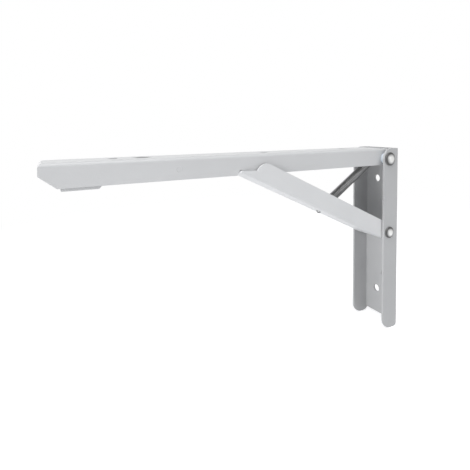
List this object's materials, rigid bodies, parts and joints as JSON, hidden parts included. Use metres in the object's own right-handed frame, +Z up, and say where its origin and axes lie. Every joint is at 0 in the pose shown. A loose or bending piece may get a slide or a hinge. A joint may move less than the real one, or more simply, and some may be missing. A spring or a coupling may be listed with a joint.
{
  "type": "folding shelf bracket",
  "caption": "Folding shelf bracket: a wall channel, a level arm that latches on a slanting brace, a release lever under the nose and a spring.",
  "frame": {"origin": "middle of the wall face's top edge, level with the shelf plane", "axes": "+X out from the wall along the open arm, +Y across the bracket, +Z up; stored open and latched"},
  "size_m": [0.3, 0.0472, 0.1735],
  "materials": {
    "powder_coat": "satin",
    "rivet_steel": "gloss",
    "sleeve_steel": "satin",
    "spacer_nylon": "satin",
    "spring_steel": "satin"
  },
  "bodies": {
    "wall_frame": {"wall_channel": "powder_coat", "arm_pivot_rivet": "rivet_steel", "arm_pivot_sleeve": "sleeve_steel", "arm_spacer_right": "spacer_nylon", "arm_spacer_left": "spacer_nylon"},
    "arm": {"shelf_arm": "powder_coat", "lever_pin": "powder_coat"},
    "lever": {"release_lever": "powder_coat"},
    "brace_pins": {"brace_rivet_right": "rivet_steel", "brace_rivet_left": "rivet_steel"},
    "slanting_brace": {"brace": "powder_coat"},
    "spring": {"brace_spring": "spring_steel"}
  },
  "joints": [
    {"name": "arm_fold", "type": "hinge", "parent": "wall_frame", "child": "arm", "pos_m": [0.0125, 0, -0.01], "axis": [0, 1, 0], "range_deg": [0, 90]},
    {"name": "brace_fold", "type": "hinge", "parent": "wall_frame", "child": "brace_pins", "pos_m": [0.0125, 0, -0.08], "axis": [0, 1, 0], "range_deg": [0, 115.9]},
    {"name": "brace_release", "type": "hinge", "parent": "brace_pins", "child": "slanting_brace", "pos_m": [0.0125, 0, -0.08], "axis": [0, 1, 0], "range_deg": [0, 1.49], "stiffness_Nm_per_rad": 0.1, "springref_deg": -45.84},
    {"name": "release_lever_press", "type": "hinge", "parent": "arm", "child": "lever", "pos_m": [0.214, 0, -0.0085], "axis": [0, -1, 0], "range_deg": [0, 4.63], "stiffness_Nm_per_rad": 0.3, "springref_deg": -5.73},
    {"name": "spring_swing", "type": "hinge", "parent": "wall_frame", "child": "spring", "pos_m": [0.0125, 0, -0.01], "axis": [0, 1, 0], "range_deg": [0, 59.4], "deforming": ["brace_spring"]}
  ],
  "couplings": [
    {"joint": "brace_fold", "follows": "arm_fold", "ratio": 1.2877},
    {"joint": "brace_release", "follows": "release_lever_press", "ratio": 0.32095},
    {"joint": "spring_swing", "follows": "arm_fold", "ratio": 0.65945}
  ]
}
